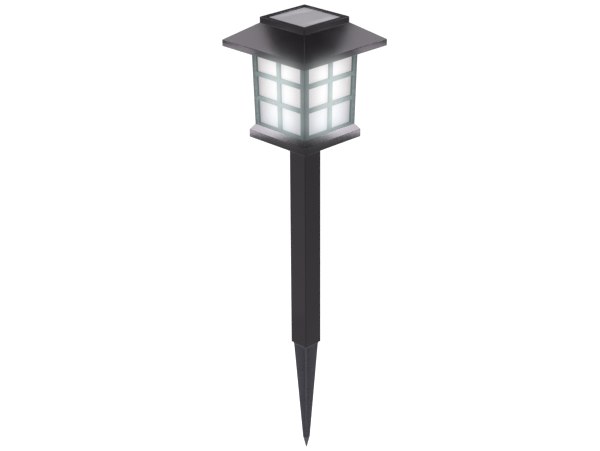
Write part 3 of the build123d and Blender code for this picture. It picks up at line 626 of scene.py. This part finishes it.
@dataclass
class Wardrobe:
    """Makes each finish once and puts it on the pieces of its material slot."""

    made: Dict[str, bpy.types.Material] = field(default_factory=dict)
    own: Dict[str, str] = field(default_factory=lambda: {"ground_spike": "spike_abs"})  # by node
    rack: Dict[str, Finish] = field(init=False)

    def __post_init__(self) -> None:
        """Hangs up the finishes."""
        self.rack = self.finishes()

    def finishes(self) -> Dict[str, Finish]:
        """Gives the finish of each material slot, and those of single pieces."""
        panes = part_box("window_panes")
        low, high = panes[0].z, panes[1].z
        kinds = (
            MouldedPlastic(
                "black_abs", (0.0075, 0.0062, 0.0084), (0.0050, 0.0041, 0.0057),
                (0.22, 0.208, 0.23), dust=(0.13, 0.128, 0.13), dust_amount=0.03,
                gloss=(0.09, 0.135), specular=0.5, tint=(0.97, 0.87, 1.0)),
            # The spike takes a lighter, bluer copy of the black plastic: that extra lightness is
            # painted light.
            MouldedPlastic(
                "spike_abs", (0.116, 0.110, 0.148), (0.100, 0.094, 0.124), (0.15, 0.145, 0.165),
                dust=(0.13, 0.128, 0.13), dust_amount=0.03, gloss=(0.24, 0.34), specular=0.45),
            GlowingLattice("lattice_plastic"),
            LitPane("frosted_pane", (low, (0.325, 0.315, 0.345)),
                    (low + 0.42 * (high - low), (0.41, 0.365, 0.37)), (high, (0.49, 0.455, 0.455))),
            MouldedPlastic("panel_board", (0.02, 0.03, 0.045), (0.015, 0.02, 0.035),
                           (0.1, 0.1, 0.1)),
            SolarCell("silicon"),
            # The resin's pale lavender colour at partial cover is a painted reflection of studio
            # light over the cells.
            MouldedPlastic("clear_resin", (0.78, 0.75, 0.80), (0.74, 0.71, 0.765),
                           (0.8, 0.78, 0.82),
                           gloss=(0.12, 0.2), specular=0.5, cover=0.55),
            MouldedPlastic("sealant", (0.02, 0.02, 0.022), (0.014, 0.014, 0.016),
                           (0.05, 0.05, 0.05)),
            MouldedPlastic("white_abs", (0.62, 0.62, 0.60), (0.56, 0.56, 0.54), (0.7, 0.7, 0.68)),
            MouldedPlastic("gasket_foam", (0.05, 0.05, 0.05), (0.03, 0.03, 0.03), (0.1, 0.1, 0.1),
                           gloss=(0.8, 0.95)),
            Metal("screw_steel", (0.55, 0.55, 0.57), (0.30, 0.28, 0.26)),
            Metal("nickel_contact", (0.66, 0.64, 0.60), (0.40, 0.37, 0.32)),
            Metal("cell_can", (0.62, 0.62, 0.63), (0.40, 0.39, 0.38), grain=Grain.ALONG_X),
            MouldedPlastic("cell_sleeve", (0.03, 0.12, 0.06), (0.02, 0.09, 0.045), (0.2, 0.3, 0.2),
                           gloss=(0.15, 0.25)),
            CircuitLaminate("circuit_laminate"),
            MouldedPlastic("chip_black", (0.02, 0.02, 0.02), (0.014, 0.014, 0.014),
                           (0.06, 0.06, 0.06)),
            MouldedPlastic("ferrite", (0.06, 0.057, 0.055), (0.04, 0.038, 0.037),
                           (0.12, 0.12, 0.12)),
            Metal("copper_wire", (0.62, 0.27, 0.12), (0.35, 0.12, 0.05), turns=0.4 * MM),
            ClearEpoxy("led_epoxy"),
            MouldedPlastic("phosphor", (0.78, 0.60, 0.10), (0.70, 0.52, 0.07), (0.8, 0.7, 0.3),
                           gloss=(0.6, 0.75)),
            MouldedPlastic("wire_red", (0.35, 0.02, 0.02), (0.28, 0.012, 0.012), (0.4, 0.1, 0.1)),
            MouldedPlastic("wire_black", (0.02, 0.02, 0.02), (0.012, 0.012, 0.012),
                           (0.06, 0.06, 0.06)),
        )
        return {kind.name: kind for kind in kinds}

    def cloth(self, finish: str) -> bpy.types.Material:
        """Gives the material of a finish, and makes it the first time.

        Args:
            finish: The finish's name.

        Returns:
            The material.
        """
        if finish not in self.made:
            self.made[finish] = self.rack[finish].make()
        return self.made[finish]

    def dress(self) -> None:
        """Gives every node of the frame the finish of its slot."""
        nodes = frame["record"]["subparts"]
        for entry in nodes:
            mesh = frame["nodes"][entry["node"]].data
            mesh.materials.clear()
            mesh.materials.append(self.cloth(self.own.get(entry["node"], entry["material_slot"])))
        LOG.info("dressed %d nodes in %d finishes", len(nodes), len(self.made))


# ------------------------------------------------------------
# Fine pieces
# ------------------------------------------------------------

class Element(Enum):
    """The elements of a mesh that can be picked."""

    FACE = "faces"
    EDGE = "edges"
    VERT = "verts"


Test = Callable[[Vector, Vector], bool]


@dataclass
class Model:
    """One new piece under work, open in edit mode until it is finished."""

    piece: bpy.types.Object
    body: str = ""                      # set when it is finished
    slot: str = ""

    @classmethod
    def start(cls, name: str, primitive: Callable[..., object], place: Sequence[float],
              **settings: object) -> "Model":
        """Adds a primitive at its place and opens it in edit mode.

        Args:
            name: The piece's name.
            primitive: The operator that adds the primitive.
            place: The primitive's middle.
            settings: The primitive's sizes.

        Returns:
            The piece under work.
        """
        if bpy.context.object is not None and bpy.context.object.mode != "OBJECT":
            bpy.ops.object.mode_set(mode="OBJECT")
        bpy.ops.object.select_all(action="DESELECT")
        primitive(location=tuple(place), **settings)
        piece = bpy.context.object
        piece.name = name
        piece.data.name = name
        bpy.ops.object.transform_apply(location=True, rotation=True, scale=True)
        bpy.ops.object.mode_set(mode="EDIT")
        return cls(piece)

    @classmethod
    def block(cls, name: str, low: Sequence[float], high: Sequence[float]) -> "Model":
        """Starts from a block between two corners.

        Args:
            name: The piece's name.
            low: The corner with the least X, Y and Z.
            high: The corner with the most.

        Returns:
            The piece under work.
        """
        middle = [(a + b) / 2 for a, b in zip(low, high)]
        return cls.start(name, bpy.ops.mesh.primitive_cube_add, middle, size=1.0,
                         scale=tuple(b - a for a, b in zip(low, high)))

    def pick(self, kind: Element, test: Test) -> "Model":
        """Selects the elements whose middle and normal pass a test, and nothing else.

        Args:
            kind: What to select.
            test: Says yes or no to a middle and a normal.

        Returns:
            The same piece, for the next step.
        """
        bpy.ops.mesh.select_mode(type=kind.name)
        bpy.ops.mesh.select_all(action="DESELECT")
        mesh = bmesh.from_edit_mesh(self.piece.data)
        mesh.normal_update()
        found = 0
        for element in getattr(mesh, kind.value):
            points = [element] if kind is Element.VERT else list(element.verts)
            middle = sum((point.co for point in points), Vector()) / len(points)
            normal = (element.normal if kind is Element.FACE
                      else sum((point.normal for point in points), Vector()).normalized())
            if test(middle, normal):
                element.select_set(True)
                found += 1
        mesh.select_flush_mode()
        bmesh.update_edit_mesh(self.piece.data)
        if not found:
            raise ValueError(f"{self.piece.name}: nothing picked")
        return self

    def round_off(self, offset: float, segments: int = 2) -> "Model":
        """Rounds the picked edges.

        Args:
            offset: How wide the rounding is.
            segments: How many faces it has.

        Returns:
            The same piece, for the next step.
        """
        bpy.ops.mesh.bevel(offset=offset, segments=segments, affect="EDGES")
        return self

    def draw_out(self, move: Sequence[float], size: float = 1.0) -> "Model":
        """Extrudes the picked faces along a move, and scales the new end about its own middle.

        Args:
            move: How far, along X, Y and Z.
            size: The scale of the new end.

        Returns:
            The same piece, for the next step.
        """
        bpy.ops.mesh.extrude_region_move(TRANSFORM_OT_translate={"value": tuple(move)})
        if size != 1.0:
            bpy.ops.transform.resize(value=(size, size, size))
        return self

    def finish(self, body: str, slot: str, material: bpy.types.Material) -> bpy.types.Object:
        """Closes the piece, smooths it and puts it on its body.

        Args:
            body: The CAD body that it moves with.
            slot: The record's material slot, which is only kept on the piece; the finish is the
                material given.
            material: That finish.

        Returns:
            The finished piece.
        """
        bpy.ops.mesh.select_all(action="SELECT")
        bpy.ops.mesh.normals_make_consistent(inside=False)
        bpy.ops.object.mode_set(mode="OBJECT")
        bpy.ops.object.shade_smooth_by_angle(angle=math.radians(35.0))
        self.piece.data.materials.clear()
        self.piece.data.materials.append(material)
        self.body, self.slot = body, slot
        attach(self.piece, body)
        return self.piece

    def repeat(self, name: str, move: Sequence[float]) -> bpy.types.Object:
        """Copies the finished piece, with its own mesh, to another place.

        Args:
            name: The copy's name.
            move: How far it is from the piece.

        Returns:
            The copy.
        """
        bpy.ops.object.select_all(action="DESELECT")
        self.piece.select_set(True)
        bpy.context.view_layer.objects.active = self.piece
        bpy.ops.object.duplicate(linked=False)
        copy = bpy.context.object
        copy.name = name
        copy.data.name = name
        bpy.ops.transform.translate(value=tuple(move))
        bpy.ops.object.transform_apply(location=True, rotation=True, scale=True)
        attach(copy, self.body)
        return copy


@dataclass
class SealantBead:
    """The soft bead of sealant round the solar panel, with a rounded top."""

    wardrobe: Wardrobe
    width: float = 0.6 * MM
    rounding: float = 0.24 * MM

    def build(self) -> None:
        """Builds the bead in place of its plain CAD ring."""
        low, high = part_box("panel_sealant")
        bead = Model.block("sealant_bead", low, high)
        bead.pick(Element.FACE, lambda middle, normal: abs(normal.z) > 0.5)
        bpy.ops.mesh.delete(type="ONLY_FACE")
        bpy.ops.object.mode_set(mode="OBJECT")
        thick = bead.piece.modifiers.new("thickness", "SOLIDIFY")
        thick.thickness = self.width
        thick.offset = -1.0
        thick.use_even_offset = True
        bpy.ops.object.modifier_apply(modifier=thick.name)
        bpy.ops.object.mode_set(mode="EDIT")
        rim = high[2] - 0.1 * MM
        bead.pick(Element.EDGE, lambda middle, normal: middle.z > rim and normal.z > 0.2)
        bead.round_off(self.rounding, 3)
        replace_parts(bead.finish("roof", "sealant", self.wardrobe.cloth("sealant")), "panel_sealant")


@dataclass
class BusBars:
    """Tinned ribbons that run along the cells under the resin."""

    wardrobe: Wardrobe
    cells: int = 4
    width: float = 0.9 * MM
    thickness: float = 0.12 * MM
    gap: float = 0.4 * MM               # between cells
    margin: float = 2.0 * MM            # at the ends of a cell
    tip: float = 1.2 * MM               # the narrowed end, inside the margin
    tip_size: float = 0.45              # of the full width
    rounding: float = 0.03 * MM

    def build(self) -> None:
        """Builds one ribbon and copies it to each cell."""
        low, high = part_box("solar_cells")
        pitch = (high.x - low.x + self.gap) / self.cells
        start = low.x + (pitch - self.gap) / 2
        half = self.width / 2
        ribbon = Model.block("bus_bar_1", (start - half, low.y + self.margin, high.z),
                             (start + half, high.y - self.margin, high.z + self.thickness))
        for way in (-1.0, 1.0):
            ribbon.pick(Element.FACE, lambda middle, normal: normal.y * way > 0.5)
            ribbon.draw_out((0.0, way * self.tip, 0.0), self.tip_size)
        ribbon.pick(Element.EDGE, lambda middle, normal: normal.z > 0.3).round_off(self.rounding)
        ribbon.finish("roof", "nickel_contact", self.wardrobe.cloth("nickel_contact"))
        for number in range(1, self.cells):
            ribbon.repeat(f"bus_bar_{number + 1}", (number * pitch, 0.0, 0.0))


@dataclass
class SolderJoints:
    """Domes of solder on the top of the circuit board, with flared feet."""

    wardrobe: Wardrobe
    wires: Places = ((11.0, 11.0), (-11.0, 11.0), (16.0, 2.0), (-16.0, 2.0))
    pins: Places = ((1.27, 0.0), (-1.27, 0.0), (2.5, 13.0), (0.0, 13.0), (-2.5, 13.0))
    wire_size: Tuple[float, float] = (1.0 * MM, 0.95 * MM)      # radius and height
    pin_size: Tuple[float, float] = (0.62 * MM, 0.6 * MM)
    flare: float = 1.22                 # of the foot
    foot: float = 0.15                  # how much of the height is foot

    def dome(self, name: str, place: Tuple[float, float], radius: float, height: float) -> Model:
        """Models one joint.

        Args:
            name: The joint's name.
            place: Where it sits on the board, in millimetres.
            radius: Its radius above the foot.
            height: Its height.

        Returns:
            The finished joint.
        """
        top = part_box("circuit_board")[1].z
        x, y = (value * MM for value in place)
        joint = Model.start(name, bpy.ops.mesh.primitive_uv_sphere_add, (x, y, top), segments=20,
                            ring_count=12, radius=1.0, scale=(radius, radius, height))
        bpy.ops.mesh.select_all(action="SELECT")
        bpy.ops.mesh.bisect(plane_co=(x, y, top + 0.001 * MM), plane_no=(0, 0, 1),
                            clear_inner=True, use_fill=True)
        joint.pick(Element.VERT, lambda middle, normal: middle.z < top + self.foot * height)
        bpy.ops.transform.resize(value=(self.flare, self.flare, 1.0), center_override=(x, y, top))
        joint.finish("roof", "nickel_contact", self.wardrobe.cloth("nickel_contact"))
        return joint

    def build(self) -> None:
        """Builds the joints of the wires and those of the pins."""
        for kind, places, size in (("wire", self.wires, self.wire_size),
                                   ("pin", self.pins, self.pin_size)):
            first = places[0]
            joint = self.dome(f"{kind}_solder_1", first, *size)
            for number, place in enumerate(places[1:], 2):
                joint.repeat(f"{kind}_solder_{number}",
                             ((place[0] - first[0]) * MM, (place[1] - first[1]) * MM, 0.0))


@dataclass
class LampInside:
    """The lead frame, reflector cup and phosphor that show through the lamp's epoxy."""

    wardrobe: Wardrobe
    lead: float = 1.27 * MM             # from the axis
    lead_half: float = 0.22 * MM
    cup_radius: float = 0.85 * MM
    cup_depth: float = 0.7 * MM
    cup_wall: float = 0.12 * MM
    mouth_drop: float = 4.4 * MM        # from the lamp's top to the cup's mouth
    hollow: Tuple[float, float] = (0.5, 0.6)            # its depth and floor, as shares of the cup
    neck: Tuple[Tuple[float, float], ...] = ((0.7 * MM, 0.45), (0.6 * MM, 0.6))     # rise and size
    cover: float = 0.1 * MM             # of epoxy over the leads
    post_rise: float = 1.3 * MM         # from the cup's mouth to the post
    hook: Tuple[float, float, float] = (-0.2 * MM, 0.0, -0.5 * MM)
    hook_size: float = 1.2
    drop_size: Tuple[float, float] = (0.62, 0.2 * MM)   # share of the cup's radius, height
    rounding: float = 0.04 * MM

    def build(self) -> None:
        """Builds the cup on its lead, the other lead and the phosphor."""
        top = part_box("led_lamp")[1].z
        mouth = top - self.mouth_drop
        self.cup(top, mouth)
        self.post(top, mouth)
        self.phosphor(mouth)

    def cup(self, top: float, mouth: float) -> None:
        """Builds the reflector cup, with the lead that carries it."""
        cup = Model.start("lamp_cup", bpy.ops.mesh.primitive_cylinder_add,
                          (0.0, 0.0, mouth + self.cup_depth / 2),
                          vertices=24, radius=self.cup_radius, depth=self.cup_depth)
        cup.pick(Element.FACE, lambda middle, normal: normal.z < -0.5)
        bpy.ops.mesh.inset(thickness=self.cup_wall)
        depth, floor = self.hollow
        cup.draw_out((0.0, 0.0, depth * self.cup_depth), floor)
        back = mouth + 0.9 * self.cup_depth
        cup.pick(Element.FACE, lambda middle, normal: normal.z > 0.5 and middle.z > back)
        for rise, size in self.neck:
            cup.draw_out((-self.lead / len(self.neck), 0.0, rise), size)
        risen = self.cup_depth + sum(rise for rise, _ in self.neck)
        cup.draw_out((0.0, 0.0, top - mouth - risen - self.cover))
        cup.finish("roof", "nickel_contact", self.wardrobe.cloth("nickel_contact"))

    def post(self, top: float, mouth: float) -> None:
        """Builds the lead without a cup."""
        half = self.lead_half
        post = Model.block("lamp_post", (self.lead - half, -half, mouth + self.post_rise),
                           (self.lead + half, half, top - self.cover))
        post.pick(Element.FACE, lambda middle, normal: normal.z < -0.5)
        post.draw_out(self.hook, self.hook_size)
        post.pick(Element.EDGE, lambda middle, normal: True).round_off(self.rounding)
        post.finish("roof", "nickel_contact", self.wardrobe.cloth("nickel_contact"))

    def phosphor(self, mouth: float) -> None:
        """Builds the drop of phosphor in the cup's mouth."""
        share, height = self.drop_size
        radius = share * self.cup_radius
        glow = Model.start("lamp_phosphor", bpy.ops.mesh.primitive_uv_sphere_add,
                           (0.0, 0.0, mouth + 0.05 * MM), segments=20, ring_count=10, radius=1.0,
                           scale=(radius, radius, height))
        glow.pick(Element.VERT, lambda middle, normal: middle.z > mouth + height / 2)
        bpy.ops.transform.resize(value=(0.8, 0.8, 1.0), center_override=(0.0, 0.0, mouth))
        glow.finish("roof", "led_epoxy", self.wardrobe.cloth("phosphor"))


@dataclass
class ChipResistors:
    """Small surface-mounted resistors with tinned ends."""

    wardrobe: Wardrobe
    places: Places = ((-12.5, -1.0), (12.5, -1.0), (0.0, 17.5), (-2.0, 8.5))
    length: float = 2.0 * MM
    width: float = 1.25 * MM
    height: float = 0.5 * MM
    end: float = 0.4 * MM               # the length of a tinned end
    plating: float = 0.02 * MM          # how far an end stands proud of the body
    border: float = 0.1 * MM            # round the printed top
    recess: float = 0.03 * MM           # of that top, and of the underside
    rounding: float = 0.06 * MM

    def build(self) -> None:
        """Builds one resistor and copies it."""
        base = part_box("circuit_board")[1].z
        x, y = (value * MM for value in self.places[0])
        half, side = self.length / 2, self.width / 2
        body = Model.block("resistor_1", (x - half + self.plating, y - side, base + self.recess),
                           (x + half - self.plating, y + side, base + self.height))
        body.pick(Element.FACE, lambda middle, normal: normal.z > 0.5)
        bpy.ops.mesh.inset(thickness=self.border)
        body.draw_out((0.0, 0.0, -self.recess))
        body.finish("roof", "chip_black", self.wardrobe.cloth("chip_black"))
        top = base + self.height + 2 * self.plating
        ends = Model.block("resistor_ends_1",
                           (x - half - self.plating, y - side - self.plating, base),
                           (x - half + self.end, y + side + self.plating, top))
        ends.pick(Element.EDGE, lambda middle, normal: True).round_off(self.rounding)
        bpy.ops.mesh.select_all(action="SELECT")
        across = self.length - self.end + self.plating
        bpy.ops.mesh.duplicate_move(TRANSFORM_OT_translate={"value": (across, 0.0, 0.0)})
        ends.finish("roof", "nickel_contact", self.wardrobe.cloth("nickel_contact"))
        for number, place in enumerate(self.places[1:], 2):
            move = ((place[0] * MM - x), (place[1] * MM - y), 0.0)
            body.repeat(f"resistor_{number}", move)
            ends.repeat(f"resistor_ends_{number}", move)


# ------------------------------------------------------------
# Studio
# ------------------------------------------------------------

@dataclass(frozen=True)
class Softbox:
    """A flat white light that stands beside the lantern."""

    name: str
    centre: Tuple[float, float, float]
    width: float
    height: float
    aim: Tuple[float, float, float]
    brightness: float                   # radiance

    def stand(self) -> bpy.types.Object:
        """Sets the light up."""
        lamp = bpy.data.lights.new(self.name, "AREA")
        lamp.shape = "RECTANGLE"
        lamp.size = self.width
        lamp.size_y = self.height
        lamp.energy = self.brightness * math.pi * self.width * self.height
        stand = bpy.data.objects.new(self.name, lamp)
        stand.location = self.centre
        aim = Vector(self.aim) - Vector(self.centre)
        stand.rotation_euler = aim.to_track_quat("-Z", "Y").to_euler()
        stand.visible_camera = False
        bpy.context.scene.collection.objects.link(stand)
        return stand


@dataclass(frozen=True)
class SideBox:
    """Where a softbox stands on each side of the lantern, and how bright it is."""

    name: str                           # what it shows up on
    back: float                         # its edges, measured towards the camera
    front: float
    low: float
    high: float
    brightness: float


@dataclass
class Studio:
    """The white floor, the soft lights and the camera, which looks at one corner of the lantern."""

    camera_place: Tuple[float, float, float] = (0.92287, -0.91531, 0.70112)
    heading: float = 45.463             # degrees round the upright axis
    tilt: float = 23.941                # degrees down
    roll: float = -0.355
    lens: float = 90.0                  # millimetres, like the sensor
    sensor: float = 36.0
    floor_half: float = 12.0
    ambient: float = 0.13
    floor_light: float = 0.38           # that the white floor throws back at the object
    above: Tuple[float, float, float] = (1.0, 0.6, 6.6)         # over the panel, side, brightness
    card: Tuple[float, float, float] = (0.16, 0.28, 0.16)       # width, height, brightness
    card_place: Tuple[float, float] = (-0.04, -0.03)            # towards the camera, height
    reach: float = 0.30                 # from the lantern's axis to the softboxes
    boxes: Tuple[SideBox, ...] = (
        SideBox("plinth", -0.07, 0.015, 0.124, 0.172, 8.0),
        SideBox("eave", -0.06, 0.020, 0.186, 0.234, 3.7),
        SideBox("chamfer", -0.17, -0.010, 0.300, 0.460, 11.0),
        SideBox("roof", -0.33, -0.120, 0.580, 0.702, 3.0),
    )

    def diagonal(self, right: float, front: float, height: float) -> Tuple[float, float, float]:
        """Gives a place from its distances along the camera's right and towards the camera.

        Args:
            right: How far to the camera's right.
            front: How far towards the camera.
            height: Its height.

        Returns:
            The place.
        """
        half = math.sqrt(0.5)
        return ((right + front) * half, (right - front) * half, height)

    def floor(self) -> None:
        """Lays a plain white floor under the tip of the spike."""
        bpy.ops.object.select_all(action="DESELECT")
        ground = (0, 0, cad_bounds[0][2])
        bpy.ops.mesh.primitive_plane_add(size=2 * self.floor_half, location=ground)
        plane = bpy.context.object
        plane.name = "studio_floor"
        bench = NodeBench("floor_white")
        seen = bench.node("LightPath").outputs["Is Camera Ray"]
        bench.set(
            Base_Color=(0.5, 0.5, 0.5),
            Roughness=0.9,
            Specular_IOR_Level=0.0,
            Emission_Color=(1.0, 1.0, 1.0),
            Emission_Strength=bench.span(seen, 0.0, 1.0, self.floor_light, 1.0),
        )
        plane.data.materials.append(bench.material)

    def sky(self) -> None:
        """Makes the surroundings dim for the object and white for the camera."""
        world = bpy.data.worlds.new("studio_white")
        world.use_nodes = True
        bpy.context.scene.world = world
        tree = world.node_tree
        seen = tree.nodes.new("ShaderNodeLightPath").outputs["Is Camera Ray"]
        level = tree.nodes.new("ShaderNodeMapRange")
        level.inputs["To Min"].default_value = self.ambient
        tree.links.new(seen, level.inputs["Value"])
        background = tree.nodes["Background"]
        background.inputs["Color"].default_value = (1.0, 1.0, 1.0, 1.0)
        tree.links.new(level.outputs["Result"], background.inputs["Strength"])

    def lights(self) -> None:
        """Stands the softboxes of both sides, the one over the panel and a dim card by the pole."""
        for side, name in ((-1.0, "left"), (1.0, "right")):
            for box in self.boxes:
                middle = (box.back + box.front) / 2
                height = (box.low + box.high) / 2
                Softbox(
                    f"softbox_{name}_{box.name}",
                    self.diagonal(side * self.reach, middle, height),
                    box.front - box.back, box.high - box.low,
                    self.diagonal(0.0, middle, height),
                    box.brightness,
                ).stand()
        height, side, brightness = self.above
        Softbox("softbox_above", (0.0, 0.0, cad_bounds[1][2] + height), side, side, (0.0, 0.0, 0.0),
                brightness).stand()
        width, height, brightness = self.card
        Softbox("pole_card", self.diagonal(-self.reach, *self.card_place), width, height,
                self.diagonal(0.0, *self.card_place), brightness).stand()

    def camera(self) -> None:
        """Sets the camera up."""
        lens = bpy.data.cameras.new("studio_camera")
        lens.lens = self.lens
        lens.sensor_width = self.sensor
        stand = bpy.data.objects.new("studio_camera", lens)
        bpy.context.scene.collection.objects.link(stand)
        stand.matrix_world = (
            Matrix.Translation(self.camera_place)
            @ Matrix.Rotation(math.radians(self.heading), 4, "Z")
            @ Matrix.Rotation(math.radians(90.0 - self.tilt), 4, "X")
            @ Matrix.Rotation(math.radians(self.roll), 4, "Z")
        )
        bpy.context.scene.camera = stand
        bpy.context.scene.view_settings.view_transform = "Standard"

    def set_up(self) -> None:
        """Builds the whole studio."""
        self.camera()
        self.floor()
        self.sky()
        self.lights()
        Glow.develop(bpy.context.scene)
        LOG.info("studio is up")


def main() -> None:
    """Builds the picture: the studio, the finishes and the fine pieces."""
    logging.basicConfig(level=logging.INFO, format="%(name)s: %(message)s")
    Studio().set_up()
    wardrobe = Wardrobe()
    wardrobe.dress()
    for piece in (SealantBead, BusBars, SolderJoints, LampInside, ChipResistors):
        piece(wardrobe).build()
        LOG.info("built %s", piece.__name__)


if __name__ == "__main__":
    main()
